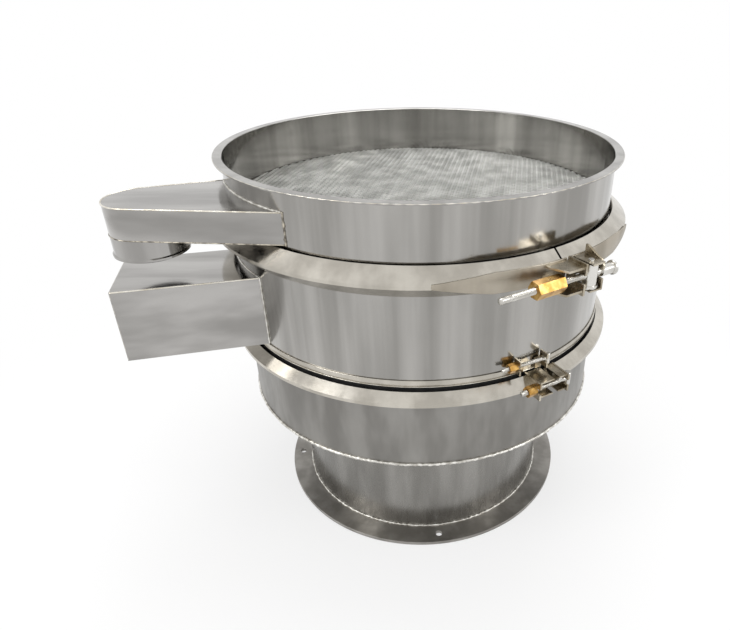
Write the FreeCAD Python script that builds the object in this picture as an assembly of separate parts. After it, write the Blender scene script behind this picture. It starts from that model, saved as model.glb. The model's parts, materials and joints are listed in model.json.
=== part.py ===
import FreeCAD, Part
import math
import os

V = FreeCAD.Vector

# ---- main dimensions, millimetres; z = 0 is the floor under the foot flange ----
overall_height = 820.0
upper_frame_height = 131.0
middle_frame_height = 240.0
drum_height = 162.0
shell_outer_r = 402.0
shell_wall = 3.0
pedestal_outer_r = 300.0

shell_inner_r = shell_outer_r - shell_wall
upper_joint_z = overall_height - upper_frame_height
lower_joint_z = upper_joint_z - middle_frame_height
drum_floor_z = lower_joint_z - drum_height

# clearances
same_body_gap = 0.15
running_gap = 0.06
seat_gap = 0.2
strap_gap = 0.3

# foot flange and pedestal
foot_outer_reach = 50.0
foot_inner_reach = 16.0
foot_thick = 8.0
foot_hole_r = 7.0
foot_hole_reach = 26.0
foot_hole_count = 4
foot_hole_start_deg = 6.0
pedestal_wall = 3.0

# drum
drum_step = 2.0
drum_outer_r = shell_outer_r - drum_step
drum_wall = 3.0
drum_floor_thick = 4.0
drum_floor_reach = 54.0
drum_inside_z = drum_floor_z + drum_floor_thick

# lower joint: drum flange, rubber skirt, retaining ring and clamp ring
lower_flange_r = shell_outer_r + 16.5
lower_flange_thick = 3.0
lower_stack_half = 6.0
skirt_outer_r = shell_outer_r - 3.5
skirt_wall = 4.0
skirt_inner_r = skirt_outer_r - skirt_wall
skirt_rise = 25.0
skirt_top_z = lower_joint_z + skirt_rise
retainer_gap = 4.5
lower_toe_r = shell_outer_r + 4.5
lower_crown_r = lower_flange_r + 7.5
lower_band_half = 18.0
lower_crown_half = 3.5
lower_band_thick = 2.0
lower_band_gap_deg = 1.4
lower_split_deg = -55.9
lower_band_outer = [(lower_toe_r, lower_joint_z + lower_band_half),
                    (lower_crown_r, lower_joint_z + lower_crown_half),
                    (lower_crown_r, lower_joint_z - lower_crown_half),
                    (lower_toe_r, lower_joint_z - lower_band_half)]

# closure of the lower clamp ring; in every closure local x is radial and local y tangential
lower_closure_deg = -60.9
lower_rod_x = lower_crown_r + 12.0
lower_rod_z = lower_joint_z + 6.0
lower_rod_r = 5.0
lower_plate_thick = 4.0
lower_left_plate_y = -6.0
lower_left_arm_end_y = 31.0
lower_right_plate_y = 60.0
lower_right_arm_end_y = 43.0
lower_nut_across_flats = 19.0
lower_nut_long = 19.3
lower_rod_tail = 12.5
lower_cross_r = 7.0
lower_cross_long = 26.0

# strip clamp over the top of the skirt, and its closure
strip_deg = -64.0
strip_low_z = skirt_top_z + 3.0
strip_width = 12.5
strip_high_z = strip_low_z + strip_width
strip_inner_r = shell_outer_r + 0.3
strip_thick = 2.0
strip_outer_r = strip_inner_r + strip_thick
strip_opening_y = 12.0
strip_opening = 22.0
strip_rod_r = 4.0
strip_rod_x = strip_outer_r + 8.7
strip_rod_z = strip_low_z + 22.0
strip_plate_thick = 3.0
strip_left_plate_y = -10.0
strip_left_arm_end_y = 10.0
strip_right_plate_y = 50.0
strip_right_arm_end_y = 36.0
strip_nut_across_flats = 16.0
strip_nut_long = 17.8
strip_rod_tail = 14.0
strip_cross_r = 5.5
strip_cross_long = 22.0

# upper joint: flanges, gasket, screen and clamp ring
upper_flange_r = shell_outer_r + 23.0
upper_flange_thick = 4.0
upper_stack_half = 9.0
upper_toe_r = shell_outer_r + 6.0
upper_toe_rise = 27.0
upper_crown_r = upper_flange_r + 12.0
upper_crown_half = 3.0
upper_heel_r = shell_outer_r + 8.0
upper_heel_drop = 28.0
upper_band_thick = 2.5
upper_split_deg = -56.0
upper_split_gap_deg = 0.6
upper_band_outer = [(upper_toe_r, upper_joint_z + upper_toe_rise),
                    (upper_crown_r, upper_joint_z + upper_crown_half),
                    (upper_crown_r, upper_joint_z - upper_crown_half),
                    (upper_heel_r, upper_joint_z - upper_heel_drop)]
gasket_inner_r = shell_inner_r + 0.2
gasket_web = 4.0
gasket_lip = 3.0
gasket_web_r = upper_flange_r - gasket_web
gasket_low_z = upper_joint_z - upper_stack_half + upper_flange_thick
gasket_high_z = upper_joint_z + upper_stack_half - upper_flange_thick
hoop_outer_r = shell_inner_r - 0.7
hoop_wall = 3.0
hoop_drop = 9.0
mesh_rise = 26.0
mesh_z = upper_joint_z + mesh_rise
mesh_thick = 1.0
ring_outer_r = gasket_web_r - 0.5
ring_low_z = gasket_low_z + gasket_lip
ring_high_z = gasket_high_z - gasket_lip

# upper frame
lip_reach = 15.0
lip_outer_r = shell_outer_r + lip_reach
lip_thick = 3.0
lip_chamfer = 1.0

# coarse discharge duct, local x runs along the duct, local y across it
coarse_dir_deg = 175.1
coarse_end_x = shell_outer_r + 69.5
coarse_end_y = shell_outer_r - 117.5
coarse_end_r = 64.0
coarse_taper_deg = 24.0
coarse_taper_run = 190.0
coarse_low_z = upper_joint_z + upper_toe_rise + 5.0
coarse_height = 58.0
coarse_high_z = coarse_low_z + coarse_height
coarse_root_x = shell_outer_r - 282.0
spout_wall = 2.0
outlet_r = coarse_end_r
outlet_bead = 2.5
outlet_bead_high = 5.0
outlet_drop = 41.0
outlet_low_z = coarse_low_z - outlet_drop

# fines discharge box
fines_dir_deg = 192.9
fines_near_y = 36.0
fines_width = 158.0
fines_reach = 209.0
fines_end_x = shell_outer_r + fines_reach
fines_root_x = shell_outer_r - 102.0
fines_low_z = strip_high_z + 0.5
fines_height = 142.0
fines_lip = 8.0

# pan and motor table
mid_foot_thick = 3.0
table_outer_r = skirt_inner_r - 3.5
table_thick = 12.0
table_low_z = skirt_top_z - table_thick
table_bore_r = 112.0
table_bolt_count = 12
table_bolt_edge = 7.0
table_bolt_circle_r = table_outer_r - table_bolt_edge
table_bolt_r = 4.4
table_bolt_flats = 11.5
mid_foot_inner_r = table_bolt_circle_r - 6.0
pan_edge_z = fines_low_z + 1.0
pan_rise = 54.0
pan_top_z = pan_edge_z + pan_rise
pan_thick = 2.0
pan_crown_r = 120.0
pan_crown_sag = 6.0

# springs
spring_count = 6
spring_start_deg = 30.0
spring_circle_r = drum_outer_r - 64.0
spring_mean_r = 24.0
spring_wire_r = 3.5
spring_turns = 3.5
spring_cap_thick = 8.0
spring_high_z = table_low_z - spring_cap_thick
post_high = 85.0
spring_low_z = drum_floor_z + post_high
seat_r = spring_mean_r + 12.0
seat_thick = 6.0
spigot_r = spring_mean_r - spring_wire_r - 3.5
spigot_long = 12.0
post_r = 30.0
post_wall = 4.0

# motor
motor_r = 92.0
motor_fin_depth = 10.0
motor_barrel_r = motor_r - motor_fin_depth
motor_bore_r = 70.0
motor_long = 196.0
motor_flange_thick = 12.0
motor_flange_low_z = table_low_z - motor_flange_thick
motor_collar_thick = 2.0
motor_high_z = motor_flange_low_z - motor_collar_thick
motor_low_z = motor_high_z - motor_long
motor_bolt_count = 8
motor_bolt_circle_r = table_bore_r + 15.0
motor_bolt_r = 6.0
motor_bolt_flats = 18.0
motor_flange_r = motor_bolt_circle_r + 15.0
motor_flange_bore_r = 78.0
motor_collar_r = 100.0
bell_nose_r = 60.0
top_bell_high = 26.0
bottom_bell_high = 14.0
shaft_r = 16.0
shaft_tail = 56.0
shaft_low_z = motor_low_z - shaft_tail
shaft_high_z = table_low_z + shaft_tail
rotor_air_gap = 4.0
weight_r = 88.0
weight_hub_r = 32.0
weight_thick = 24.0
weight_split = 3.0
upper_weight_z = skirt_top_z + 10.0
lower_weight_z = shaft_low_z + 10.0

# closure of the upper clamp ring
closure_deg = -59.0
rod_x = upper_crown_r + 31.0
rod_z = upper_joint_z - 5.0
rod_r = 6.0
rod_left_y = -143.0
rod_right_y = 72.0
head_r = 10.0
head_flare_r = 13.0
head_flare_long = 6.0
head_end_y = 104.0
nut_right_y = -16.0
nut_long = 57.0
nut_left_y = nut_right_y - nut_long
nut_across_flats = 28.0
washer_r = 12.5
washer_thick = 2.0
trunnion_y = 48.0
trunnion_r = 13.0
trunnion_collar = 2.5
trunnion_collar_high = 5.0
trunnion_drop = 22.0
trunnion_rise = 21.5
trunnion_pin_r = 5.0
plate_thick = 4.0
slot_half = 8.0
fork_plate_y = 22.0
fork_arm_y = -28.0
fork_arm_drop = 19.0
fork_plate_half = 29.0
fork_depth = 15.0
gusset_y = trunnion_y + 17.0
gusset_drop = 29.0
gusset_rise = 40.0
bracket_arm_y = trunnion_y - 11.0
bracket_arm_thick = 3.0

# straps that stiffen the ends of the upper clamp ring
strap_inner_r = upper_crown_r + strap_gap
strap_thick = 3.0
strap_outer_r = strap_inner_r + strap_thick
strap_low_z = upper_joint_z - 17.0
strap_high_z = upper_joint_z + 21.0
left_strap_start_deg = -88.0
left_strap_sweep_deg = 31.6
right_strap_start_deg = -55.4
right_strap_sweep_deg = 33.0

# rear hinge of the upper clamp ring
hinge_deg = 124.0
hinge_r = upper_crown_r + 12.0
hinge_pin_r = 4.0
hinge_knuckle_r = 8.0
hinge_knuckle_high = 12.0
hinge_half = 25.0
hinge_low_z = upper_joint_z - hinge_half
hinge_high_z = upper_joint_z + hinge_half
hinge_leaf_y = 11.0
hinge_leaf_wide = 23.0
hinge_arm_thick = 4.0


def ring(inner_r, outer_r, low_z, high_z):
    body = Part.makeCylinder(outer_r, high_z - low_z, V(0, 0, low_z))
    bore = Part.makeCylinder(inner_r, high_z - low_z + 2, V(0, 0, low_z - 1))
    return body.cut(bore)


def disc(radius, low_z, high_z, x=0.0, y=0.0):
    return Part.makeCylinder(radius, high_z - low_z, V(x, y, low_z))


def box(x0, x1, y0, y1, z0, z1):
    return Part.makeBox(x1 - x0, y1 - y0, z1 - z0, V(x0, y0, z0))


def turned(profile, start_deg=0.0, sweep_deg=360.0):
    points = [V(r, 0, z) for r, z in profile]
    face = Part.Face(Part.makePolygon(points + [points[0]]))
    solid = face.revolve(V(0, 0, 0), V(0, 0, 1), sweep_deg)
    return turn(solid, start_deg)


def turn(shape, angle_deg):
    moved = shape.copy()
    moved.rotate(V(0, 0, 0), V(0, 0, 1), angle_deg)
    return moved


def polar_copies(shape, count, start_deg=0.0):
    return [turn(shape, start_deg + 360.0 * i / count) for i in range(count)]


def inset_profile(outer, thick):
    """Offset an open section line to its inner side with mitred corners."""
    normals = []
    for (r0, z0), (r1, z1) in zip(outer, outer[1:]):
        length = math.hypot(r1 - r0, z1 - z0)
        normals.append(((z1 - z0) / length, -(r1 - r0) / length))
    inner = []
    for i, (r, z) in enumerate(outer):
        a = normals[max(i - 1, 0)]
        b = normals[min(i, len(normals) - 1)]
        scale = thick / (1.0 + a[0] * b[0] + a[1] * b[1])
        inner.append((r + (a[0] + b[0]) * scale, z + (a[1] + b[1]) * scale))
    return inner


def channel(outer, thick, start_deg, sweep_deg):
    return turned(outer + inset_profile(outer, thick)[::-1], start_deg, sweep_deg)


def filled_channel(outer, grow):
    """Solid filled to the axis, used to trim what is welded on a clamp ring."""
    grown = [(r + grow, z) for r, z in outer]
    return turned([(1.0, grown[0][1])] + grown + [(1.0, grown[-1][1])])


def hexagon(across_flats, place):
    corner = across_flats / math.sqrt(3.0)
    points = []
    for i in range(7):
        a = math.radians(60.0 * i)
        points.append(place(corner * math.cos(a), corner * math.sin(a)))
    return Part.Face(Part.makePolygon(points))


def hex_nut_y(across_flats, y0, y1, x, z, bore_r):
    """Hexagon with turned corners at both ends, bored through along y."""
    corner = across_flats / math.sqrt(3.0)
    cone = min(6.0, (y1 - y0) / 3)
    solid = hexagon(across_flats, lambda u, w: V(x + u, y0, z + w)).extrude(V(0, y1 - y0, 0))
    nose = Part.makeCone(corner * 0.93, corner * 1.3, cone, V(x, y0, z), V(0, 1, 0))
    tail = Part.makeCone(corner * 1.3, corner * 0.93, cone, V(x, y1 - cone, z), V(0, 1, 0))
    middle = rod_y(corner * 1.3, y0 + cone, y1 - cone, x, z)
    solid = solid.common(nose.fuse([middle, tail]))
    return solid.cut(rod_y(bore_r, y0 - 1, y1 + 1, x, z))


def rod_y(radius, y0, y1, x, z):
    return Part.makeCylinder(radius, y1 - y0, V(x, y0, z), V(0, 1, 0))


# ---- static base ----

def foot_flange():
    solid = ring(pedestal_outer_r - foot_inner_reach, pedestal_outer_r + foot_outer_reach, 0, foot_thick)
    hole = disc(foot_hole_r, -1, foot_thick + 1, pedestal_outer_r + foot_hole_reach)
    for cutter in polar_copies(hole, foot_hole_count, foot_hole_start_deg):
        solid = solid.cut(cutter)
    return solid


def pedestal_shell():
    return ring(pedestal_outer_r - pedestal_wall, pedestal_outer_r, foot_thick, drum_floor_z)


def drum_floor():
    return ring(pedestal_outer_r - drum_floor_reach, drum_outer_r, drum_floor_z, drum_inside_z)


def drum_shell():
    top_z = lower_joint_z - lower_stack_half + lower_flange_thick
    inner_r = drum_outer_r - drum_wall
    return turned([(inner_r, drum_inside_z), (drum_outer_r, drum_inside_z),
                   (drum_outer_r, top_z - lower_flange_thick),
                   (lower_flange_r, top_z - lower_flange_thick),
                   (lower_flange_r, top_z), (inner_r, top_z)])


def spring_posts():
    post_top = spring_low_z - seat_thick
    tube = disc(post_r, drum_inside_z, post_top, spring_circle_r)
    tube = tube.cut(disc(post_r - post_wall, drum_inside_z - 1, post_top - seat_thick, spring_circle_r))
    seat = disc(seat_r, post_top, spring_low_z, spring_circle_r)
    spigot = disc(spigot_r, spring_low_z, spring_low_z + spigot_long, spring_circle_r)
    post = tube.fuse([seat, spigot])
    return Part.makeCompound(polar_copies(post, spring_count, spring_start_deg))


def retaining_ring():
    top_z = lower_joint_z + lower_stack_half
    return ring(skirt_outer_r + retainer_gap, lower_flange_r, top_z - lower_flange_thick, top_z)


def rubber_skirt():
    low_z = lower_joint_z - lower_stack_half + lower_flange_thick
    high_z = lower_joint_z + lower_stack_half - lower_flange_thick
    return turned([(skirt_inner_r, low_z), (lower_flange_r, low_z), (lower_flange_r, high_z),
                   (skirt_outer_r, high_z), (skirt_outer_r, skirt_top_z),
                   (skirt_inner_r, skirt_top_z)])


def coil_springs():
    """Open coil springs: a helix of short straight lengths."""
    steps = 10
    total = int(spring_turns * steps)
    rise = spring_high_z - spring_low_z - 2 * spring_wire_r
    points = []
    for i in range(total + 1):
        a = 2 * math.pi * i / steps
        z = spring_low_z + spring_wire_r + rise * i / total
        points.append(V(spring_circle_r + spring_mean_r * math.cos(a), spring_mean_r * math.sin(a), z))
    path = Part.makePolygon(points)
    along = points[1] - points[0]
    section_points = []
    side = V(1, 0, 0)
    up = along.cross(side).normalize()
    side = up.cross(along).normalize()
    for i in range(7):
        a = math.radians(60 * i)
        offset = side * (spring_wire_r * math.cos(a)) + up * (spring_wire_r * math.sin(a))
        section_points.append(points[0] + offset)
    section = Part.makePolygon(section_points)
    spring = Part.Wire(path).makePipeShell([section], True, True, 1)
    return Part.makeCompound(polar_copies(spring, spring_count, spring_start_deg))


# ---- lower clamp ring ----

def lower_vband():
    gap = lower_band_gap_deg
    return channel(lower_band_outer, lower_band_thick, lower_split_deg + gap / 2, 360.0 - gap)


def lower_lug(plate_y, arm_end_y):
    """End plate with an open slot, and two arms welded to the clamp ring."""
    root_x = lower_toe_r - 2.5
    tip_x = lower_rod_x + 15.0
    low_z = lower_joint_z - 12.0
    high_z = lower_joint_z + 24.0
    arm = 3.0
    low, high = min(plate_y, arm_end_y), max(plate_y, arm_end_y)
    slot_half_z = lower_rod_r + 1.2
    plate = box(root_x, tip_x, plate_y, plate_y + lower_plate_thick, low_z, high_z)
    slot = box(lower_rod_x - lower_rod_r - 2, tip_x + 7, plate_y - 1, plate_y + lower_plate_thick + 1,
               lower_rod_z - slot_half_z, lower_rod_z + slot_half_z)
    top = box(root_x, tip_x - 5, low, high, high_z - 1 - arm, high_z - 1)
    bottom = box(root_x, tip_x - 5, low, high, low_z + 1, low_z + 1 + arm)
    bridge = box(root_x, lower_crown_r + 2.5, low, high, low_z + 1, high_z - 1)
    lug = plate.fuse([top, bottom, bridge]).cut(slot)
    trim = filled_channel(lower_band_outer, seat_gap)
    return turn(lug.removeSplitter(), lower_closure_deg).cut(trim)


def lower_left_lug():
    return lower_lug(lower_left_plate_y, lower_left_arm_end_y)


def lower_right_lug():
    return lower_lug(lower_right_plate_y, lower_right_arm_end_y)


def lower_tbolt():
    """Rod with a cross bar that hooks behind the right end plate."""
    cross_y = lower_right_plate_y + lower_plate_thick + seat_gap + lower_cross_r
    tail_y = lower_left_plate_y - seat_gap - lower_nut_long - lower_rod_tail
    rod = rod_y(lower_rod_r, tail_y, cross_y - 1.2, lower_rod_x, lower_rod_z)
    low_z = lower_rod_z - lower_cross_long / 2
    cross = Part.makeCylinder(lower_cross_r, lower_cross_long, V(lower_rod_x, cross_y, low_z))
    return turn(rod.fuse(cross).removeSplitter(), lower_closure_deg)


def lower_nut():
    high_y = lower_left_plate_y - seat_gap
    nut = hex_nut_y(lower_nut_across_flats, high_y - lower_nut_long, high_y, lower_rod_x, lower_rod_z,
                    lower_rod_r + running_gap)
    return turn(nut, lower_closure_deg)


# ---- strip clamp over the top of the skirt ----

def strip_band():
    strip = ring(strip_inner_r, strip_outer_r, strip_low_z, strip_high_z)
    gap = box(shell_inner_r - 20, strip_outer_r + 20, strip_opening_y, strip_opening_y + strip_opening,
              strip_low_z - 1, strip_high_z + 1)
    return strip.cut(turn(gap, strip_deg))


def strip_lug(plate_y, arm_end_y):
    root_x = shell_outer_r - 7.0
    tip_x = strip_rod_x + 11.0
    half = 15.0
    low, high = min(plate_y, arm_end_y), max(plate_y, arm_end_y)
    slot_half_z = strip_rod_r + 1.0
    plate = box(root_x, tip_x, plate_y, plate_y + strip_plate_thick, strip_rod_z - half, strip_rod_z + half)
    slot = box(strip_rod_x - strip_rod_r - 1.5, tip_x + 6, plate_y - 1, plate_y + strip_plate_thick + 1,
               strip_rod_z - slot_half_z, strip_rod_z + slot_half_z)
    foot = box(root_x, strip_outer_r + 4.2, low, high, strip_low_z + 2, strip_rod_z + 1)
    lug = plate.fuse(foot).cut(slot).removeSplitter()
    trim = disc(strip_outer_r + same_body_gap, strip_low_z - 20, strip_rod_z + 30)
    return turn(lug, strip_deg).cut(trim)


def strip_left_lug():
    return strip_lug(strip_left_plate_y, strip_left_arm_end_y)


def strip_right_lug():
    return strip_lug(strip_right_plate_y, strip_right_arm_end_y)


def strip_tbolt():
    cross_y = strip_right_plate_y + strip_plate_thick + strap_gap + strip_cross_r
    tail_y = strip_left_plate_y - seat_gap - strip_nut_long - strip_rod_tail
    rod = rod_y(strip_rod_r, tail_y, cross_y - 0.8, strip_rod_x, strip_rod_z)
    low_z = strip_rod_z - strip_cross_long / 2
    cross = Part.makeCylinder(strip_cross_r, strip_cross_long, V(strip_rod_x, cross_y, low_z))
    return turn(rod.fuse(cross).removeSplitter(), strip_deg)


def strip_nut():
    high_y = strip_left_plate_y - seat_gap
    nut = hex_nut_y(strip_nut_across_flats, high_y - strip_nut_long, high_y, strip_rod_x, strip_rod_z,
                    strip_rod_r + running_gap)
    return turn(nut, strip_deg)


# ---- vibrating middle frame ----

def fines_prism(inset, x0, x1):
    block = box(x0, x1, fines_near_y + inset, fines_near_y + fines_width - inset,
                fines_low_z + inset, fines_low_z + fines_height - inset)
    return turn(block, fines_dir_deg)


def middle_shell():
    """Shell wall with an in-turned foot and an out-turned clamp flange."""
    flange_z = upper_joint_z - upper_stack_half
    wall = turned([(mid_foot_inner_r, skirt_top_z), (shell_outer_r, skirt_top_z),
                   (shell_outer_r, flange_z), (upper_flange_r, flange_z),
                   (upper_flange_r, flange_z + upper_flange_thick),
                   (shell_inner_r, flange_z + upper_flange_thick),
                   (shell_inner_r, skirt_top_z + mid_foot_thick),
                   (mid_foot_inner_r, skirt_top_z + mid_foot_thick)])
    return wall.cut(fines_prism(spout_wall, fines_root_x, shell_outer_r + 28))


def fines_spout():
    """Open ended rectangular chute with a return lip round its mouth."""
    outer = fines_prism(0.0, fines_root_x, fines_end_x)
    bore = fines_prism(spout_wall, fines_root_x - 10, fines_end_x - spout_wall - 1)
    mouth = fines_prism(fines_lip, fines_end_x - spout_wall - 2, fines_end_x + 2)
    saddle = disc(shell_outer_r + same_body_gap, fines_low_z - 50, fines_low_z + fines_height + 50)
    return outer.cut(bore).cut(mouth).cut(saddle)


def fines_pan():
    edge_r = shell_inner_r - 0.4
    crown_z = pan_top_z - pan_crown_sag
    return turned([(0, pan_top_z), (0, pan_top_z - pan_thick), (pan_crown_r, crown_z - pan_thick),
                   (edge_r, pan_edge_z), (edge_r, pan_edge_z + pan_thick),
                   (pan_crown_r, crown_z)])


def table_plate():
    plate = ring(table_bore_r, table_outer_r, table_low_z, skirt_top_z)
    rim_hole = disc(table_bolt_r + 0.2, table_low_z - 1, skirt_top_z + 1, table_bolt_circle_r)
    for cutter in polar_copies(rim_hole, table_bolt_count):
        plate = plate.cut(cutter)
    hole = disc(motor_bolt_r + 0.2, table_low_z - 1, skirt_top_z + 1, motor_bolt_circle_r)
    for cutter in polar_copies(hole, motor_bolt_count, 180.0 / motor_bolt_count):
        plate = plate.cut(cutter)
    return plate


def hex_bolt(across_flats, head_low, head_high, shank_r, shank_high, x):
    head = hexagon(across_flats, lambda u, w: V(x + u, w, head_low)).extrude(V(0, 0, head_high - head_low))
    return head.fuse(disc(shank_r, head_high, shank_high, x)).removeSplitter()


def table_bolts():
    bolt = hex_bolt(table_bolt_flats, table_low_z - 6, table_low_z, table_bolt_r, skirt_top_z - 1,
                    table_bolt_circle_r)
    return Part.makeCompound(polar_copies(bolt, table_bolt_count))


def motor_bolts():
    bolt = hex_bolt(motor_bolt_flats, motor_flange_low_z - 8, motor_flange_low_z, motor_bolt_r, skirt_top_z,
                    motor_bolt_circle_r)
    return Part.makeCompound(polar_copies(bolt, motor_bolt_count, 180.0 / motor_bolt_count))


def spring_caps():
    cap = disc(seat_r, spring_high_z, table_low_z, spring_circle_r)
    cap = cap.fuse(disc(spigot_r, spring_high_z - spigot_long, spring_high_z, spring_circle_r))
    return Part.makeCompound(polar_copies(cap, spring_count, spring_start_deg))


# ---- vibration motor ----

def motor_body():
    """Ribbed stator barrel."""
    barrel = ring(motor_bore_r, motor_barrel_r, motor_low_z, motor_high_z)
    fin = box(motor_barrel_r - 2, motor_r, -2.5, 2.5, motor_low_z + 14, motor_high_z - 10)
    return barrel.fuse(polar_copies(fin, 20)).removeSplitter()


def motor_flange():
    flange = ring(motor_flange_bore_r, motor_flange_r, motor_flange_low_z, table_low_z)
    collar = ring(motor_flange_bore_r, motor_collar_r, motor_high_z, motor_flange_low_z)
    hole = disc(motor_bolt_r + 0.2, motor_flange_low_z - 1, table_low_z + 1, motor_bolt_circle_r)
    flange = flange.fuse(collar).removeSplitter()
    for cutter in polar_copies(hole, motor_bolt_count, 180.0 / motor_bolt_count):
        flange = flange.cut(cutter)
    return flange


def motor_top_bell():
    bore = shaft_r + running_gap
    low_z = motor_flange_low_z + 2
    high_z = low_z + top_bell_high
    edge_r = motor_flange_bore_r - 0.5
    return turned([(bore, low_z), (edge_r, low_z), (edge_r, high_z - 12), (bell_nose_r, high_z),
                   (bore, high_z)])


def motor_bottom_bell():
    bore = shaft_r + running_gap
    low_z = motor_low_z - bottom_bell_high
    return turned([(bore, low_z), (bell_nose_r, low_z), (motor_barrel_r, low_z + 8),
                   (motor_barrel_r, motor_low_z), (bore, motor_low_z)])


def terminal_box():
    """Cable box with a lid and a gland, on the side of the barrel."""
    case_x = motor_r + same_body_gap
    case_deep = 46.0
    lid_x = case_x + case_deep
    half = 34.0
    low_z = motor_low_z + 78
    high_z = low_z + 70
    case = box(case_x, lid_x, -half, half, low_z, high_z)
    lid = box(lid_x, lid_x + 6, -half - 4, half + 4, low_z - 4, high_z + 4)
    gland = Part.makeCylinder(9, 16, V(case_x + case_deep * 0.55, 0, low_z - 16))
    return turn(case.fuse([lid, gland]).removeSplitter(), 60.0)


def motor_shaft():
    shaft = disc(shaft_r, shaft_low_z, shaft_high_z)
    rotor = ring(shaft_r - 1, motor_bore_r - rotor_air_gap, motor_low_z + 38, motor_high_z - 28)
    return shaft.fuse(rotor).removeSplitter()


def eccentric_weight(low_z):
    """Half disc with a split hub."""
    high_z = low_z + weight_thick
    far = weight_r + 1
    sector = disc(weight_r, low_z, high_z).cut(box(-far, 0, -far, far, low_z - 1, high_z + 1))
    hub = disc(weight_hub_r, low_z, high_z)
    bore = disc(shaft_r + running_gap, low_z - 1, high_z + 1)
    split = box(-weight_hub_r - 2, -shaft_r + 2, -weight_split / 2, weight_split / 2, low_z - 1, high_z + 1)
    return sector.fuse(hub).removeSplitter().cut(bore).cut(split)


def upper_weight():
    return eccentric_weight(upper_weight_z)


def lower_weight():
    return turn(eccentric_weight(lower_weight_z), 180.0)


# ---- screen ----

def screen_gasket():
    return turned([(gasket_inner_r, gasket_low_z), (upper_flange_r, gasket_low_z),
                   (upper_flange_r, gasket_high_z), (gasket_inner_r, gasket_high_z),
                   (gasket_inner_r, ring_high_z), (gasket_web_r, ring_high_z),
                   (gasket_web_r, ring_low_z), (gasket_inner_r, ring_low_z)])


def screen_ring():
    """Flat ring of the screen frame, held between the gasket lips."""
    return ring(hoop_outer_r + same_body_gap, ring_outer_r, ring_low_z, ring_high_z)


def screen_hoop():
    """Upright hoop of the screen frame; it carries the cloth up to the floor of the coarse duct."""
    return ring(hoop_outer_r - hoop_wall, hoop_outer_r, upper_joint_z - hoop_drop, mesh_z)


def screen_mesh():
    return disc(hoop_outer_r, mesh_z, mesh_z + mesh_thick)


# ---- upper frame and coarse spout ----

def coarse_outline(inset):
    """Plan of the duct: straight front, round end, tapering rear wall."""
    a = math.radians(coarse_taper_deg)
    r = coarse_end_r - inset
    cx, cy = coarse_end_x, coarse_end_y
    front = V(cx, cy + r, 0)
    outer = V(cx + r, cy, 0)
    rear = V(cx + r * math.sin(a), cy - r * math.cos(a), 0)
    inner_rear = V(rear.x - coarse_taper_run * math.cos(a), rear.y - coarse_taper_run * math.sin(a), 0)
    inner_front = V(coarse_root_x, cy + r, 0)
    corner = V(coarse_root_x, inner_rear.y, 0)
    return Part.Wire([Part.makeLine(inner_front, front), Part.Arc(front, outer, rear).toShape(),
                      Part.makeLine(rear, inner_rear), Part.makeLine(inner_rear, corner),
                      Part.makeLine(corner, inner_front)])


def coarse_prism(inset):
    face = Part.Face(coarse_outline(inset))
    face.translate(V(0, 0, coarse_low_z + inset))
    return turn(face.extrude(V(0, 0, coarse_height - 2 * inset)), coarse_dir_deg)


def outlet_place(shape):
    moved = shape.copy()
    moved.translate(V(coarse_end_x, coarse_end_y, 0))
    return turn(moved, coarse_dir_deg)


def upper_shell():
    """Shell wall with a clamp flange below and a flat outward lip on top."""
    flange_z = upper_joint_z + upper_stack_half
    edge = lip_chamfer
    wall = turned([(shell_inner_r, flange_z - upper_flange_thick),
                   (upper_flange_r, flange_z - upper_flange_thick),
                   (upper_flange_r, flange_z), (shell_outer_r, flange_z),
                   (shell_outer_r, overall_height - lip_thick),
                   (lip_outer_r, overall_height - lip_thick), (lip_outer_r, overall_height - edge),
                   (lip_outer_r - edge, overall_height), (shell_inner_r + edge, overall_height),
                   (shell_inner_r, overall_height - edge)])
    return wall.cut(coarse_prism(spout_wall))


def coarse_spout():
    """Closed sheet duct opening into the upper frame, with a round hole in its floor."""
    duct = coarse_prism(0.0).cut(coarse_prism(spout_wall))
    saddle = disc(shell_outer_r + same_body_gap, coarse_low_z - 20, coarse_high_z + 20)
    hole = outlet_place(disc(outlet_r - spout_wall, coarse_low_z - 1, coarse_low_z + spout_wall + 2))
    return duct.cut(saddle).cut(hole)


def coarse_outlet():
    """Spigot under the duct with a rolled edge for a sleeve."""
    inner_r = outlet_r - spout_wall
    bead_r = outlet_r + outlet_bead
    spigot = turned([(inner_r, outlet_low_z), (outlet_r, outlet_low_z), (bead_r, outlet_low_z + 1.5),
                     (bead_r, outlet_low_z + outlet_bead_high), (outlet_r, outlet_low_z + outlet_bead_high + 2),
                     (outlet_r, coarse_low_z), (inner_r, coarse_low_z)])
    return outlet_place(spigot)


# ---- upper clamp ring ----

def vband_left():
    start = hinge_deg + upper_split_gap_deg / 2
    sweep = 360.0 + upper_split_deg - hinge_deg - upper_split_gap_deg
    return channel(upper_band_outer, upper_band_thick, start, sweep)


def vband_right():
    start = upper_split_deg + upper_split_gap_deg / 2
    sweep = hinge_deg - upper_split_deg - upper_split_gap_deg
    return channel(upper_band_outer, upper_band_thick, start, sweep)


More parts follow.
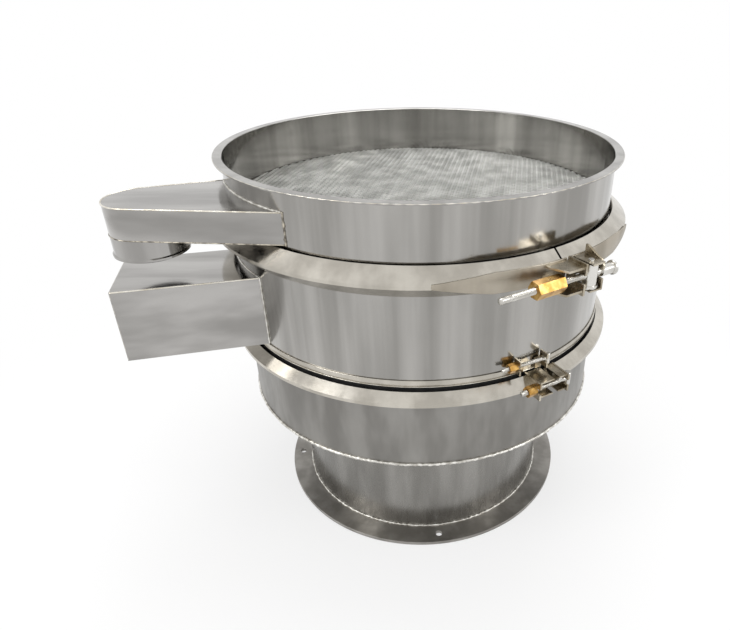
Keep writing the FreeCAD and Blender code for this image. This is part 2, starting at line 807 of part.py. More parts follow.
def strap(start_deg, sweep_deg, point_at_start):
    """Rolled stiffening strap whose far end narrows to a point."""
    low, high = strap_low_z, strap_high_z
    plate = turned([(strap_inner_r, low), (strap_outer_r, low), (strap_outer_r, high), (strap_inner_r, high)],
                   start_deg, sweep_deg)
    tip_deg = start_deg if point_at_start else start_deg + sweep_deg
    sign = 1.0 if point_at_start else -1.0
    mid = (low + high) / 2 + 1.0
    near_x = strap_inner_r * 0.8
    for z_far, z_near in ((high, mid + 1.5), (low, mid - 1.5)):
        beyond = z_far + (6.0 if z_far > mid else -6.0)
        points = [V(near_x, -sign * 20, z_near), V(near_x, sign * 100, z_far),
                  V(near_x, sign * 100, beyond), V(near_x, -sign * 20, beyond)]
        face = Part.Face(Part.makePolygon(points + [points[0]]))
        plate = plate.cut(turn(face.extrude(V(strap_outer_r, 0, 0)), tip_deg))
    return plate


def left_strap():
    return strap(left_strap_start_deg, left_strap_sweep_deg, True)


def right_strap():
    return strap(right_strap_start_deg, right_strap_sweep_deg, False)


def strap_trim():
    return disc(strap_outer_r + same_body_gap, upper_joint_z - 100, upper_joint_z + 100)


def left_fork():
    """Two arms and a slotted end plate that the nut pulls against."""
    y = fork_plate_y
    root_x = upper_crown_r - 7.0
    tip_x = rod_x + fork_depth
    drop = fork_arm_drop
    arm_x = tip_x - 3.0
    top = box(root_x, arm_x, fork_arm_y, y, rod_z + drop, rod_z + drop + plate_thick)
    bottom = box(root_x, arm_x, fork_arm_y, y, rod_z - drop - plate_thick, rod_z - drop)
    plate = box(root_x, tip_x, y, y + plate_thick, rod_z - fork_plate_half, rod_z + fork_plate_half)
    slot = box(rod_x - slot_half - 2, tip_x + 17, y - 1, y + plate_thick + 1,
               rod_z - slot_half, rod_z + slot_half)
    low_z = rod_z - fork_plate_half - 5
    start_x = upper_crown_r + 9
    skew = [V(start_x, fork_arm_y - 2, low_z), V(tip_x + 7, fork_arm_y - 2, low_z),
            V(tip_x + 7, fork_arm_y + 22, low_z)]
    corner = Part.Face(Part.makePolygon(skew + [skew[0]])).extrude(V(0, 0, 2 * fork_plate_half + 12))
    fork = top.fuse([bottom, plate]).cut(slot).cut(corner)
    return turn(fork.removeSplitter(), closure_deg).cut(strap_trim())


def right_bracket():
    """Gusset plate with two lugs that hold the trunnion."""
    y = gusset_y
    root_x = upper_crown_r - 7.0
    low_z = rod_z - gusset_drop
    points = [V(root_x, y, low_z), V(rod_x + 13, y, low_z), V(rod_x + 13, y, rod_z + 16),
              V(rod_x + 6, y, rod_z + 26), V(rod_x - 6, y, rod_z + 30),
              V(root_x + 11, y, rod_z + gusset_rise), V(root_x, y, rod_z + gusset_rise)]
    gusset = Part.Face(Part.makePolygon(points + [points[0]])).extrude(V(0, plate_thick, 0))
    slot = box(rod_x - slot_half - 6, rod_x + 32, y - 2, y + plate_thick + 2,
               rod_z - slot_half, rod_z + slot_half)
    arm_x = rod_x + 16
    upper_z = rod_z + trunnion_rise + 0.5
    lower_z = rod_z - trunnion_drop - 1.0
    upper = box(root_x, arm_x, bracket_arm_y, y, upper_z, upper_z + bracket_arm_thick)
    lower = box(root_x, arm_x, bracket_arm_y, y, lower_z - bracket_arm_thick, lower_z)
    bracket = gusset.cut(slot).fuse([upper, lower]).removeSplitter()
    bore = disc(trunnion_pin_r + running_gap, rod_z - 34, rod_z + 36, rod_x, trunnion_y)
    return turn(bracket.cut(bore), closure_deg).cut(strap_trim())


def trunnion():
    """Turned block with pins at both ends, cross bored for the rod."""
    low_z = rod_z - trunnion_drop
    barrel = disc(trunnion_r, low_z, rod_z + trunnion_rise, rod_x, trunnion_y)
    collar = disc(trunnion_r + trunnion_collar, low_z, low_z + trunnion_collar_high, rod_x, trunnion_y)
    pin_z = low_z - bracket_arm_thick - 5
    pin = disc(trunnion_pin_r, pin_z, rod_z + trunnion_rise + bracket_arm_thick + 3.5, rod_x, trunnion_y)
    bore = rod_y(rod_r + running_gap, trunnion_y - 20, trunnion_y + 20, rod_x, rod_z)
    return turn(barrel.fuse([collar, pin]).removeSplitter().cut(bore), closure_deg)


def swing_rod():
    flare_y = head_end_y - head_flare_long
    rod = rod_y(rod_r, rod_left_y, rod_right_y, rod_x, rod_z)
    sleeve = rod_y(head_r, rod_right_y, flare_y, rod_x, rod_z)
    flare = rod_y(head_flare_r, flare_y, head_end_y, rod_x, rod_z)
    return turn(rod.fuse([sleeve, flare]).removeSplitter(), closure_deg)


def nut_washer():
    washer = rod_y(washer_r, nut_right_y, nut_right_y + washer_thick, rod_x, rod_z)
    bore = rod_y(rod_r + running_gap, nut_right_y - 5, nut_right_y + 9, rod_x, rod_z)
    return turn(washer.cut(bore), closure_deg)


def coupling_nut():
    nut = hex_nut_y(nut_across_flats, nut_left_y, nut_right_y, rod_x, rod_z, rod_r + running_gap)
    return turn(nut, closure_deg)


def hinge_leaf(side, spans):
    """Leaf plate on one clamp half with arms out to its knuckles."""
    y0, y1 = sorted((side * hinge_leaf_y, side * (hinge_leaf_y + hinge_leaf_wide)))
    a0, a1 = sorted((0.0, side * (hinge_leaf_y + 2)))
    edge_x = upper_crown_r + 5.0
    leaf = box(upper_crown_r - 12, edge_x, y0, y1, hinge_low_z, hinge_high_z)
    arms = [box(edge_x - hinge_arm_thick, edge_x, a0, a1, z0, z1) for z0, z1 in spans]
    tubes = [disc(hinge_knuckle_r, z0, z1, hinge_r, 0.0) for z0, z1 in spans]
    solid = leaf.fuse(arms + tubes).removeSplitter()
    solid = solid.cut(disc(hinge_pin_r + running_gap, hinge_low_z - 14, hinge_high_z + 16, hinge_r, 0.0))
    return turn(solid, hinge_deg).cut(filled_channel(upper_band_outer, seat_gap))


def hinge_left():
    return hinge_leaf(1.0, [(hinge_low_z, hinge_low_z + hinge_knuckle_high),
                            (hinge_high_z - hinge_knuckle_high, hinge_high_z)])


def hinge_right():
    gap = hinge_knuckle_high + 0.5
    return hinge_leaf(-1.0, [(hinge_low_z + gap, hinge_high_z - gap)])


def hinge_pin():
    pin = disc(hinge_pin_r, hinge_low_z - 3, hinge_high_z, hinge_r, 0.0)
    cap = disc(hinge_pin_r + 2.5, hinge_high_z, hinge_high_z + 4, hinge_r, 0.0)
    return turn(pin.fuse(cap).removeSplitter(), hinge_deg)


makers = [foot_flange, pedestal_shell, drum_floor, drum_shell, spring_posts, retaining_ring,
          rubber_skirt, coil_springs, lower_vband, lower_left_lug, lower_right_lug, lower_tbolt,
          lower_nut, strip_band, strip_left_lug, strip_right_lug, strip_tbolt, strip_nut,
          middle_shell, fines_spout, fines_pan, table_plate, table_bolts, motor_bolts,
          spring_caps, motor_body, motor_flange, motor_top_bell, motor_bottom_bell,
          terminal_box, motor_shaft, upper_weight, lower_weight, screen_gasket, screen_ring,
          screen_hoop, screen_mesh, upper_shell, coarse_spout, coarse_outlet, vband_left,
          vband_right, left_strap, right_strap, left_fork, right_bracket, trunnion, swing_rod,
          nut_washer, coupling_nut, hinge_left, hinge_right, hinge_pin]

os.makedirs("parts", exist_ok=True)
for make in makers:
    shape = make()
    shape.exportStep("parts/" + make.__name__ + ".step")
    print(make.__name__, len(shape.Solids), shape.isValid(), round(shape.Volume / 1000.0, 1))
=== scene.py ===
import bpy
import bmesh
import json
import math
from mathutils import Matrix, Vector, noise


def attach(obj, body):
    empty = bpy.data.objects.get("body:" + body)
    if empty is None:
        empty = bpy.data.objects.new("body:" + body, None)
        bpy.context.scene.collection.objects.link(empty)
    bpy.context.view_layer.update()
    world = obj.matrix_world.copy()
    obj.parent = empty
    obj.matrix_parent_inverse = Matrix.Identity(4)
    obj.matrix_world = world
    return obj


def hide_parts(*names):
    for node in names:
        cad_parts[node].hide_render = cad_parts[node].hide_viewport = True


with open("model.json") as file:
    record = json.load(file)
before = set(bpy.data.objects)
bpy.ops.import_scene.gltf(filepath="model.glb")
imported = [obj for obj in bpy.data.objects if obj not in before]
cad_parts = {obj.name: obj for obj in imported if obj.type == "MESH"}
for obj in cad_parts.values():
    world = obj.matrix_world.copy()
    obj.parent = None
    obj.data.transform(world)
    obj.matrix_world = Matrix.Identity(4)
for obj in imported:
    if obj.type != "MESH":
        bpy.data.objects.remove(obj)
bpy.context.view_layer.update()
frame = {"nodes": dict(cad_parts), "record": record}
nodes = frame["nodes"]
bodyOf = {node: name for name, members in frame["record"]["behaviour"]["bodies"].items() for node in members}

mm = 0.001


# material helpers

def newMaterial(name):
    material = bpy.data.materials.new(name)
    material.use_nodes = True
    tree = material.node_tree
    return material, tree, tree.nodes["Principled BSDF"]


def addNode(tree, kind, values=None, **settings):
    node = tree.nodes.new(kind)
    for key, value in settings.items():
        setattr(node, key, value)
    for key, value in (values or {}).items():
        if isinstance(value, bpy.types.NodeSocket):
            tree.links.new(value, node.inputs[key])
        else:
            node.inputs[key].default_value = value
    return node


def tone(red, green, blue):
    # display values from 0 to 255 turned into the linear values that a socket holds
    def linear(value):
        share = value / 255
        return share / 12.92 if share <= 0.04045 else ((share + 0.055) / 1.055) ** 2.4
    return (linear(red), linear(green), linear(blue), 1)


def grey(value):
    return (value, value, value, 1)


def place(tree, scale=(1, 1, 1), turn=0.0, move=(0, 0, 0)):
    coords = addNode(tree, "ShaderNodeTexCoord")
    mapping = addNode(tree, "ShaderNodeMapping", {"Vector": coords.outputs["Object"], "Scale": scale,
                                                  "Rotation": (0, 0, math.radians(turn)), "Location": move})
    return mapping.outputs["Vector"]


def split(tree, vector):
    return addNode(tree, "ShaderNodeSeparateXYZ", {"Vector": vector}).outputs


def sums(tree, operation, first, second=0.0, third=0.0, clamp=False):
    node = addNode(tree, "ShaderNodeMath", operation=operation, use_clamp=clamp)
    for slot, value in enumerate((first, second, third)):
        if isinstance(value, bpy.types.NodeSocket):
            tree.links.new(value, node.inputs[slot])
        else:
            node.inputs[slot].default_value = value
    return node.outputs[0]


def radiusOf(tree, vector):
    axes = split(tree, vector)
    squares = sums(tree, "ADD", sums(tree, "MULTIPLY", axes["X"], axes["X"]),
                   sums(tree, "MULTIPLY", axes["Y"], axes["Y"]))
    return sums(tree, "SQRT", squares)


def stepUp(tree, value, start, end):
    node = addNode(tree, "ShaderNodeMapRange", {"Value": value, "From Min": start, "From Max": end},
                   interpolation_type="SMOOTHSTEP")
    return node.outputs["Result"]


def cloud(tree, vector, scale, detail=3.0, rough=0.5):
    return addNode(tree, "ShaderNodeTexNoise", {"Vector": vector, "Scale": scale, "Detail": detail,
                                                "Roughness": rough}).outputs["Fac"]


def ramp(tree, factor, stops, soft="EASE"):
    node = addNode(tree, "ShaderNodeValToRGB", {"Fac": factor})
    node.color_ramp.interpolation = soft
    elements = node.color_ramp.elements
    while len(elements) < len(stops):
        elements.new(0.5)
    for element, (spot, colour) in zip(elements, sorted(stops, key=lambda stop: stop[0])):
        element.position = spot
        element.color = colour
    return node.outputs["Color"]


def blendColour(tree, factor, first, second, mode="MIX"):
    node = addNode(tree, "ShaderNodeMix", data_type="RGBA", blend_type=mode)
    for slot, value in ((0, factor), (6, first), (7, second)):
        if isinstance(value, bpy.types.NodeSocket):
            tree.links.new(value, node.inputs[slot])
        else:
            node.inputs[slot].default_value = value
    return node.outputs[2]


def bump(tree, height, strength, distance, shader):
    node = addNode(tree, "ShaderNodeBump", {"Height": height, "Strength": strength, "Distance": distance})
    tree.links.new(node.outputs["Normal"], shader.inputs["Normal"])


def finishSteel(tree, shader, colour, brush, roughness, waves=0.02, mottle=0.12):
    # brush stretches the grain; roughness is (smooth, dull); waves dents the sheet a little
    shader.inputs["Metallic"].default_value = 1.0
    grain = cloud(tree, place(tree, brush), 90, 4.0, 0.6)
    patches = cloud(tree, place(tree, (1, 1, 0.6)), 14, 3.0, 0.55)
    shade = ramp(tree, sums(tree, "MULTIPLY_ADD", patches, 0.6, sums(tree, "MULTIPLY", grain, 0.4)),
                 [(0.3, grey(1 - mottle)), (0.7, grey(1.0))], "LINEAR")
    tree.links.new(blendColour(tree, 1.0, colour, shade, "MULTIPLY"), shader.inputs["Base Color"])
    tree.links.new(ramp(tree, grain, [(0.3, grey(roughness[0])), (0.7, grey(roughness[1]))], "LINEAR"),
                   shader.inputs["Roughness"])
    bump(tree, sums(tree, "MULTIPLY_ADD", grain, 0.05, patches), waves, 0.004, shader)


# finishes of the object

def plainSteel(name, low, high, roughness, brush=(1, 1, 1), scale=24, waves=0.02, mottle=0.12):
    material, tree, shader = newMaterial(name)
    colour = ramp(tree, cloud(tree, place(tree, brush), scale), [(0.32, tone(*low)), (0.68, tone(*high))])
    finishSteel(tree, shader, colour, brush, roughness, waves, mottle)
    return material


def softRubber(name, low, high, roughness):
    material, tree, shader = newMaterial(name)
    dust = cloud(tree, place(tree), 60, 5.0, 0.6)
    tree.links.new(ramp(tree, dust, [(0.35, tone(*low)), (0.75, tone(*high))]), shader.inputs["Base Color"])
    shader.inputs["Roughness"].default_value = roughness
    bump(tree, cloud(tree, place(tree), 400, 3.0, 0.6), 0.1, 0.0006, shader)
    return material


# each steel: darker tone, lighter tone, roughness from smooth to dull, brush, patch scale, waves, mottle
materials = {
    "polished_shell": plainSteel("upperShellSteel", (150, 148, 144), (180, 178, 174), (0.10, 0.20),
                                 (1, 1, 0.05), 18, 0.03, 0.10),
    "satin_shell": plainSteel("drumSteel", (130, 128, 124), (155, 153, 149), (0.34, 0.46), (1, 1, 0.3), 18, 0.03, 0.10),
    "pedestal_steel": plainSteel("pedestalSteel", (130, 128, 124), (155, 153, 149), (0.22, 0.32),
                                 (1, 1, 0.2), 18, 0.02, 0.08),
    "dull_plate": plainSteel("footSteel", (140, 137, 132), (165, 162, 157), (0.30, 0.46), (1, 1, 1), 24, 0.03, 0.12),
    "polished_band": plainSteel("bandSteel", (180, 175, 165), (205, 200, 190), (0.16, 0.26),
                                (1, 1, 0.3), 20, 0.015, 0.10),
    "duct_steel": plainSteel("ductSteel", (150, 148, 145), (185, 183, 180), (0.10, 0.20), (0.2, 1, 1), 14, 0.03, 0.08),
    "strap_steel": plainSteel("strapSteel", (160, 152, 138), (185, 177, 163), (0.34, 0.48),
                              (1, 1, 0.4), 20, 0.03, 0.14),
    "closure_plate": plainSteel("closurePlate", (150, 138, 116), (206, 198, 182), (0.22, 0.36)),
    "steel_rod": plainSteel("rodSteel", (196, 193, 186), (226, 224, 219), (0.22, 0.34)),
    "weight_steel": plainSteel("weightSteel", (70, 70, 72), (110, 110, 112), (0.40, 0.55)),
    "brass_nut": plainSteel("brassNut", (170, 128, 66), (208, 170, 104), (0.24, 0.38), (1, 1, 1), 60),
    "woven_mesh": plainSteel("wovenWire", (176, 176, 172), (214, 214, 210), (0.30, 0.42)),
    "black_rubber": softRubber("blackRubber", (24, 24, 24), (44, 43, 42), 0.6),
    "pale_silicone": softRubber("paleSilicone", (206, 204, 196), (222, 220, 214), 0.5),
    "motor_paint": softRubber("motorPaint", (58, 88, 116), (70, 102, 130), 0.42)}
ownFinish = {
    "middle_shell": plainSteel("middleShellSteel", (150, 148, 144), (180, 178, 174), (0.12, 0.22),
                               (1, 1, 0.05), 18, 0.03, 0.12),
    "coarse_outlet": plainSteel("outletSteel", (150, 148, 145), (185, 183, 180), (0.08, 0.16),
                                (1, 1, 0.1), 14, 0.03, 0.05),
    "fines_spout": plainSteel("chuteSteel", (150, 148, 145), (185, 183, 180), (0.08, 0.16),
                              (0.2, 1, 1), 14, 0.02, 0.06)}

for part in frame["record"]["subparts"]:
    node = nodes[part["node"]]
    node.data.materials.clear()
    node.data.materials.append(ownFinish.get(part["node"], materials[part["material_slot"]]))
print("finishes on", len(nodes), "nodes")


# bevels and rounded edges on the cut plates and fittings

edgeRounding = {
    "lower_left_lug": 0.5, "lower_right_lug": 0.5, "strip_left_lug": 0.4, "strip_right_lug": 0.4,
    "left_fork": 0.7, "right_bracket": 0.6, "trunnion": 0.9, "nut_washer": 0.3, "hinge_left": 0.6,
    "hinge_right": 0.6, "hinge_pin": 0.6, "left_strap": 0.8, "right_strap": 0.8, "foot_flange": 1.0,
    "strip_band": 0.5, "coupling_nut": 0.5, "lower_nut": 0.4, "strip_nut": 0.4, "motor_bolts": 0.5,
    "table_bolts": 0.4, "terminal_box": 1.2, "spring_caps": 0.8}


def roundEdges(name, width):
    node = nodes[name]
    weld = node.modifiers.new("joinCorners", "WELD")
    weld.merge_threshold = 0.00001
    bevel = node.modifiers.new("roundEdges", "BEVEL")
    bevel.width = width * mm
    bevel.segments = 2
    bevel.limit_method = "ANGLE"
    bevel.angle_limit = math.radians(40)
    bevel.harden_normals = True


for name, width in edgeRounding.items():
    roundEdges(name, width)
print("rounded", len(edgeRounding), "nodes")


# new pieces

def newPiece(name, bm, body, material, smooth=True):
    mesh = bpy.data.meshes.new(name)
    bm.to_mesh(mesh)
    bm.free()
    return linkPiece(name, mesh, body, material, smooth)


def linkPiece(name, mesh, body, material, smooth=True):
    piece = bpy.data.objects.new(name, mesh)
    bpy.context.scene.collection.objects.link(piece)
    mesh.materials.clear()
    mesh.materials.append(material)
    for face in mesh.polygons:
        face.use_smooth = smooth
    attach(piece, body)
    return piece


def around(angle, x=0.0, y=0.0, z=0.0):
    # a point given in millimetres on a frame turned by angle about the machine's axis
    return Matrix.Rotation(math.radians(angle), 4, "Z") @ Vector((x * mm, y * mm, z * mm))


def roughen(bm, amount, scale, seed):
    bm.normal_update()
    for vert in bm.verts:
        lift = noise.noise(vert.co * scale + Vector((seed, 0, 0)))
        vert.co += vert.normal * lift * amount * mm


def ringBead(name, body, bead, material):
    bm = bmesh.new()
    sweep = bead.get("sweep", 360.0)
    turn = Matrix.Rotation(math.radians(bead.get("start", 0.0)), 4, "Z")
    shift = Matrix.Translation((bead["radius"] * mm, 0, bead["height"] * mm))
    stand = Matrix.Rotation(math.radians(90), 4, "X") @ Matrix.Diagonal((1, bead.get("tall", 1.0), 1, 1))
    bmesh.ops.create_circle(bm, segments=8, radius=bead["size"] * mm, matrix=turn @ shift @ stand,
                            cap_ends=sweep < 360)
    steps = int(bead["radius"] * math.radians(sweep) / bead.get("step", 3.0))
    bmesh.ops.spin(bm, geom=bm.verts[:] + bm.edges[:] + bm.faces[:], cent=(0, 0, 0), axis=(0, 0, 1),
                   angle=math.radians(sweep), steps=steps, use_merge=sweep >= 360)
    bmesh.ops.recalc_face_normals(bm, faces=bm.faces[:])
    roughen(bm, bead.get("rough", 0.0), 1 / (bead.get("lump", 4.0) * mm), bead["radius"])
    return newPiece(name, bm, body, material)


def tubeMesh(name, runs, size, resolution=1):
    curve = bpy.data.curves.new(name, "CURVE")
    curve.dimensions = "3D"
    curve.bevel_depth = size * mm
    curve.bevel_resolution = resolution
    curve.use_fill_caps = True
    for points in runs:
        spline = curve.splines.new("POLY")
        spline.points.add(len(points) - 1)
        for point, spot in zip(spline.points, points):
            point.co = (*spot, 1)
    holder = bpy.data.objects.new(name, curve)
    mesh = bpy.data.meshes.new_from_object(holder)
    bpy.data.objects.remove(holder)
    return mesh


def divided(points, step):
    # the same run with a point every few millimetres, so that a weld can be lumpy
    spots = [points[0]]
    for first, last in zip(points, points[1:]):
        count = max(1, int((last - first).length / (step * mm)))
        spots += [first.lerp(last, share / count) for share in range(1, count + 1)]
    return spots


def pathBead(name, body, points, bead, material):
    mesh = tubeMesh(name, [divided(points, bead.get("step", 2.5))], bead["size"], 1)
    bm = bmesh.new()
    bm.from_mesh(mesh)
    bmesh.ops.remove_doubles(bm, verts=bm.verts[:], dist=0.00002)
    bmesh.ops.recalc_face_normals(bm, faces=bm.faces[:])
    roughen(bm, bead.get("rough", 0.0), 1 / (bead.get("lump", 4.0) * mm), points[0].length * 50)
    return newPiece(name, bm, body, material)


# two copies of one weld steel: the brighter one is painted highlight, the darker and duller one is painted shade for
# the welds under and at the front of the duct
weldPaintedHighlight = plainSteel("weldPaintedHighlight", (186, 182, 174), (246, 244, 238), (0.26, 0.44), (1, 1, 1), 90, 0.2)
weldDullPaintedShade = plainSteel("weldDullPaintedShade", (110, 104, 96), (214, 206, 190), (0.34, 0.5), (1, 1, 1), 110, 0.3)
# edge steel brighter than the sheets it trims: a painted highlight along rolled and folded edges
edgePaintedHighlight = plainSteel("edgePaintedHighlight", (214, 206, 190), (246, 242, 232), (0.2, 0.3), (1, 1, 1), 40, 0.05)

drumBead = {"radius": 400.6, "height": 289.0, "size": 3.0, "rough": 1.3, "lump": 5.0, "step": 2.6}
ringBead("drumBottomWeld", "base", drumBead, weldPaintedHighlight)
footBead = {"radius": 301.2, "height": 9.2, "size": 2.4, "rough": 1.4, "lump": 6.0, "step": 2.6}
ringBead("pedestalFootWeld", "base", footBead, weldPaintedHighlight)
# the shell foot edge and the rolled lip are thin beads whose bright edge steel is a painted highlight
shellFoot = {"radius": 402.2, "height": 475.2, "size": 1.0, "rough": 0.2, "step": 4.0}
ringBead("middleFootEdge", "vibrating_frame", shellFoot, edgePaintedHighlight)
lipEdge = {"radius": 415.6, "height": 818.6, "size": 1.35, "rough": 0.0, "step": 6.0}
ringBead("lipRolledEdge", "vibrating_frame", lipEdge, edgePaintedHighlight)

# the coarse duct: edge welds along its roof, its front corner and its root on the shell; the roof edge and roof weld
# are painted highlight, the floor edge, floor weld and front weld painted shade

duct = {"angle": 175.1, "frontY": 348.5, "endX": 471.5, "endY": 284.5, "endR": 64.0, "rootX": 200.4,
        "rearAngle": 24.0, "lowZ": 721.0, "topZ": 779.0, "shellR": 402.0}


def ductOutline(height, grow=0.0):
    points = [around(duct["angle"], duct["rootX"] + 2, duct["frontY"] + grow, height)]
    turns = 24
    for step in range(turns + 1):
        a = math.radians(90 - step * (180 - duct["rearAngle"]) / turns)
        points.append(around(duct["angle"], duct["endX"] + (duct["endR"] + grow) * math.cos(a),
                             duct["endY"] + (duct["endR"] + grow) * math.sin(a), height))
    a = math.radians(duct["rearAngle"])
    rearX = duct["endX"] + duct["endR"] * math.sin(a)
    rearY = duct["endY"] - duct["endR"] * math.cos(a)
    points.append(around(duct["angle"], rearX - 142 * math.cos(a), rearY - 142 * math.sin(a), height))
    return points


def shellArc(fromAngle, toAngle, height, radius):
    count = 16
    return [around(fromAngle + (toAngle - fromAngle) * step / count, radius, 0, height) for step in range(count + 1)]


pathBead("ductRoofEdge", "vibrating_frame", ductOutline(duct["topZ"] - 0.6), {"size": 1.5, "rough": 0.25}, edgePaintedHighlight)
pathBead("ductFloorEdge", "vibrating_frame", ductOutline(duct["lowZ"] + 0.4), {"size": 1.1, "rough": 0.25}, weldDullPaintedShade)
pathBead("ductFrontWeld", "vibrating_frame",
         [around(duct["angle"], duct["rootX"] - 1.5, duct["frontY"] + 0.6, z) for z in (duct["lowZ"] - 2, duct["topZ"] + 1)],
         {"size": 2.4, "rough": 1.6, "lump": 3.0, "step": 1.6}, weldDullPaintedShade)
pathBead("ductRoofWeld", "vibrating_frame", shellArc(235.0, 200.0, duct["topZ"] + 0.4, duct["shellR"] + 0.6),
         {"size": 2.2, "rough": 1.2, "lump": 4.0}, weldPaintedHighlight)
pathBead("ductFloorWeld", "vibrating_frame", shellArc(235.0, 200.0, duct["lowZ"] - 0.4, duct["shellR"] + 0.6),
         {"size": 1.6, "rough": 0.9, "lump": 4.0}, weldDullPaintedShade)

# the fines chute: folded roof edge and mouth edge in a painted-highlight edge steel, and a beaded weld down its root,
# also with painted highlight

chute = {"turn": 192.9}  # degrees round the machine

pathBead("chuteRoofEdge", "vibrating_frame",
         [around(chute["turn"], x, 193.4, 631.4) for x in (353.5, 610.0)],
         {"size": 1.5, "rough": 0.15}, edgePaintedHighlight)
pathBead("chuteMouthEdge", "vibrating_frame",
         [around(chute["turn"], 610.2, y, z) for y, z in ((193.2, 491), (193.2, 631.2), (36.8, 631.2), (36.8, 491),
                                                           (193.2, 491))],
         {"size": 0.9, "rough": 0.1}, edgePaintedHighlight)
pathBead("chuteRootWeld", "vibrating_frame",
         [around(chute["turn"], 352.6, 194.6, z) for z in (489.5, 632.5)],
         {"size": 1.9, "rough": 1.0, "lump": 3.0, "step": 2.0}, weldPaintedHighlight)
pathBead("chuteRoofWeld", "vibrating_frame", shellArc(198.2, 221.6, 632.3, 402.6),
         {"size": 1.7, "rough": 0.9, "lump": 4.0}, weldPaintedHighlight)
print("welds and edges")

# woven screen: straight bundles one way, fine wires woven over and under them the other way

screen = {"radius": 398.0, "height": 715.6, "angle": 80.5, "pitch": 11.8, "strand": 1.15, "strandGap": 2.35,
          "cross": 5.9, "crossWire": 0.85, "wave": 1.15}


def screenWires(direction, offset, waveAt=None):
    half = math.sqrt(max(screen["radius"] ** 2 - offset ** 2, 1.0))
    if not waveAt:
        return [around(direction, -half, offset, screen["height"]), around(direction, half, offset, screen["height"])]
    count = int(2 * half / screen["pitch"])
    points = []
    for step in range(-(count // 2), count // 2 + 1):
        lift = screen["wave"] * (1 if (step + waveAt) % 2 else -1)
        points.append(around(direction, step * screen["pitch"], offset, screen["height"] + lift))
    return points


strands = []
for row in range(-33, 34):
    for side in (-1, 0, 1):
        strands.append(screenWires(screen["angle"], row * screen["pitch"] + side * screen["strandGap"]))
mesh = tubeMesh("screenStrands", strands, screen["strand"], 0)
linkPiece("screenStrands", mesh, "vibrating_frame", materials["woven_mesh"])
crossings = []
for row in range(-66, 67):
    points = screenWires(screen["angle"] - 90, row * screen["cross"], row + 200)
    if len(points) > 1:
        crossings.append(points)
mesh = tubeMesh("screenCrossWires", crossings, screen["crossWire"], 0)
linkPiece("screenCrossWires", mesh, "vibrating_frame", materials["woven_mesh"])
for name in ("screenStrands", "screenCrossWires"):
    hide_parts("screen_mesh")
print("screen", len(strands), len(crossings))

# threaded closure rods: a turned core with a helical thread wound on it

closureRods = {
    "swingRodThreaded": {
        "node": "swing_rod", "angle": -59.0, "x": 468.0, "z": 684.0, "pitch": 1.75, "crest": 5.98, "thread": (-120.0, 33.0),
        "core": [(0.0, -143.0), (3.4, -143.0), (4.9, -142.3), (5.6, -140.6), (5.7, -138.0), (5.7, -121.0), (5.1, -119.5),
                 (5.1, 32.5), (5.9, 33.5), (5.9, 72.0), (9.4, 72.0), (10.0, 72.8), (10.0, 97.6), (11.2, 98.4),
                 (12.6, 99.0), (13.0, 100.0), (13.0, 103.0), (12.2, 104.0), (7.4, 104.0), (6.6, 102.6), (0.0, 102.4)]},
    "lowerRodThreaded": {
        "node": "lower_tbolt", "angle": -60.9, "x": 438.0, "z": 455.0, "pitch": 1.5, "crest": 4.98, "thread": (-35.0, 58.0),
        "core": [(0.0, -38.0), (3.2, -38.0), (4.2, -37.2), (4.3, -35.0), (4.2, 57.5), (4.9, 58.5), (4.9, 70.0), (0.0, 70.0)],
        "cross": {"y": 71.2, "r": 7.0, "half": 13.0}},
    "stripRodThreaded": {
        "node": "strip_tbolt", "angle": -64.0, "x": 413.0, "z": 499.0, "pitch": 1.25, "crest": 3.98, "thread": (-39.0, 47.0),
        "core": [(0.0, -42.0), (2.5, -42.0), (3.3, -41.2), (3.4, -39.0), (3.4, 46.5), (3.9, 47.5), (3.9, 58.0), (0.0, 58.0)],
        "cross": {"y": 58.8, "r": 5.5, "half": 11.0}}}


def spinProfile(bm, profile, centre, axis, steps):
    # profile points are (distance from the axis, place along it)
    side = Vector((1, 0, 0))
    verts = [bm.verts.new((centre + side * out + axis * along) * mm) for out, along in profile]
    edges = [bm.edges.new(pair) for pair in zip(verts, verts[1:])]
    bmesh.ops.spin(bm, geom=verts + edges, cent=centre * mm, axis=axis, angle=math.tau, steps=steps, use_merge=True)


def threadedRod(name, rod):
    bm = bmesh.new()
    centre = Vector((rod["x"], 0, rod["z"]))
    along = Vector((0, 1, 0))
    spinProfile(bm, rod["core"], centre, along, 24)
    start, end = rod["thread"]
    depth = 0.55 * rod["pitch"]
    turns = int((end - start) / rod["pitch"])
    rib = [bm.verts.new((centre + Vector((out, start + share * rod["pitch"], 0))) * mm)
           for out, share in ((rod["crest"] - depth, 0.0), (rod["crest"], 0.44), (rod["crest"], 0.56),
                              (rod["crest"] - depth, 1.0))]
    ribEdges = [bm.edges.new(pair) for pair in zip(rib, rib[1:])]
    bmesh.ops.spin(bm, geom=rib + ribEdges, cent=centre * mm, axis=along, angle=math.tau * turns,
                   steps=16 * turns, dvec=(0, rod["pitch"] * mm / 16, 0))
    if "cross" in rod:
        cross = rod["cross"]
        edge = 0.8
        bar = [(0.0, -cross["half"]), (cross["r"] - edge, -cross["half"]), (cross["r"], edge - cross["half"]),
               (cross["r"], cross["half"] - edge), (cross["r"] - edge, cross["half"]), (0.0, cross["half"])]
        spinProfile(bm, bar, Vector((rod["x"], cross["y"], rod["z"])), Vector((0, 0, 1)), 24)
    bmesh.ops.remove_doubles(bm, verts=bm.verts[:], dist=0.000004)
    bmesh.ops.recalc_face_normals(bm, faces=bm.faces[:])
    bmesh.ops.transform(bm, matrix=Matrix.Rotation(math.radians(rod["angle"]), 4, "Z"), verts=bm.verts[:])
    piece = newPiece(name, bm, bodyOf[rod["node"]], materials["steel_rod"])
    piece.data.set_sharp_from_angle(angle=math.radians(32))
    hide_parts(rod["node"])


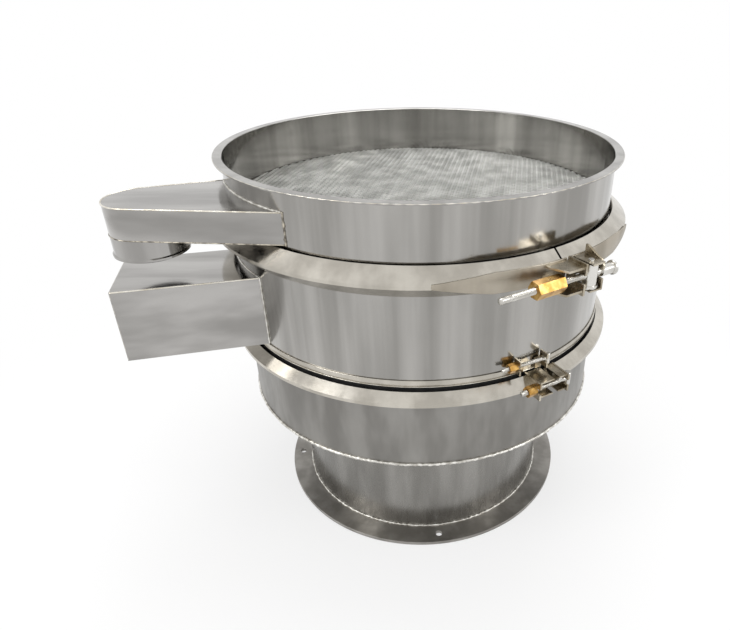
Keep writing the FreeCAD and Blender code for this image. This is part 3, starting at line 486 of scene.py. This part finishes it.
for name, rod in closureRods.items():
    threadedRod(name, rod)
print("closure rods")


# stage: a white floor that keeps the shadow, soft light and the camera

def whiteForSight(tree):
    path = addNode(tree, "ShaderNodeLightPath")
    seen = sums(tree, "MAXIMUM", path.outputs["Is Camera Ray"], path.outputs["Is Glossy Ray"])
    return sums(tree, "MAXIMUM", seen, path.outputs["Is Transmission Ray"])


studio = {"daylight": 0.82, "floorSize": 7.0, "floorGlow": 0.62}

world = bpy.data.worlds.new("studio")
bpy.context.scene.world = world
world.use_nodes = True
tree = world.node_tree
background = tree.nodes["Background"]
background.inputs["Color"].default_value = (1, 1, 1, 1)
tree.links.new(sums(tree, "MULTIPLY_ADD", whiteForSight(tree), 1 - studio["daylight"], studio["daylight"]),
               background.inputs["Strength"])

bm = bmesh.new()
bmesh.ops.create_grid(bm, x_segments=1, y_segments=1, size=studio["floorSize"])
floorMesh = bpy.data.meshes.new("floor")
bm.to_mesh(floorMesh)
bm.free()
floor = bpy.data.objects.new("floor", floorMesh)
bpy.context.scene.collection.objects.link(floor)
floor.location = (0, 0, -0.0006)
material, tree, shader = newMaterial("paleFloor")
shader.inputs["Base Color"].default_value = (0.9, 0.9, 0.9, 1)
shader.inputs["Roughness"].default_value = 0.8
glow = addNode(tree, "ShaderNodeEmission", {"Color": (1, 1, 1, 1), "Strength": 1.0})
far = stepUp(tree, radiusOf(tree, place(tree)), 0.7, 1.6)
share = sums(tree, "MULTIPLY_ADD", far, 1 - studio["floorGlow"], studio["floorGlow"])
mixer = addNode(tree, "ShaderNodeMixShader", {"Fac": sums(tree, "MULTIPLY", share, whiteForSight(tree))})
tree.links.new(shader.outputs[0], mixer.inputs[1])
tree.links.new(glow.outputs[0], mixer.inputs[2])
tree.links.new(mixer.outputs[0], tree.nodes["Material Output"].inputs["Surface"])
floor.data.materials.append(material)

lamps = {
    "leftSoft": {"at": (-2.2, -1.4, 2.4), "size": 1.2, "power": 26},
    "rightSoft": {"at": (2.3, -1.2, 1.9), "size": 0.9, "power": 16},
    "topSoft": {"at": (0.2, 0.6, 3.0), "size": 1.6, "power": 26}}
for name, lamp in lamps.items():
    light = bpy.data.lights.new(name, "AREA")
    light.size = lamp["size"]
    light.energy = lamp["power"]
    lightObject = bpy.data.objects.new(name, light)
    bpy.context.scene.collection.objects.link(lightObject)
    lightObject.location = lamp["at"]
    toMachine = Vector((0, 0, 0.45)) - Vector(lamp["at"])
    lightObject.rotation_euler = toMachine.to_track_quat("-Z", "Y").to_euler()

view = {"at": (0, -1.27756, 1.09998), "turn": (60.5294, -0.1092, -1.4873), "lens": 29.259, "shift": (-0.0970, 0.01275)}
camera = bpy.data.cameras.new("camera")
camera.lens = view["lens"]
camera.sensor_width = 36
camera.shift_x, camera.shift_y = view["shift"]
cameraObject = bpy.data.objects.new("camera", camera)
bpy.context.scene.collection.objects.link(cameraObject)
cameraObject.location = view["at"]
cameraObject.rotation_euler = [math.radians(angle) for angle in view["turn"]]
bpy.context.scene.camera = cameraObject
bpy.context.scene.view_settings.view_transform = "Standard"
print("stage")
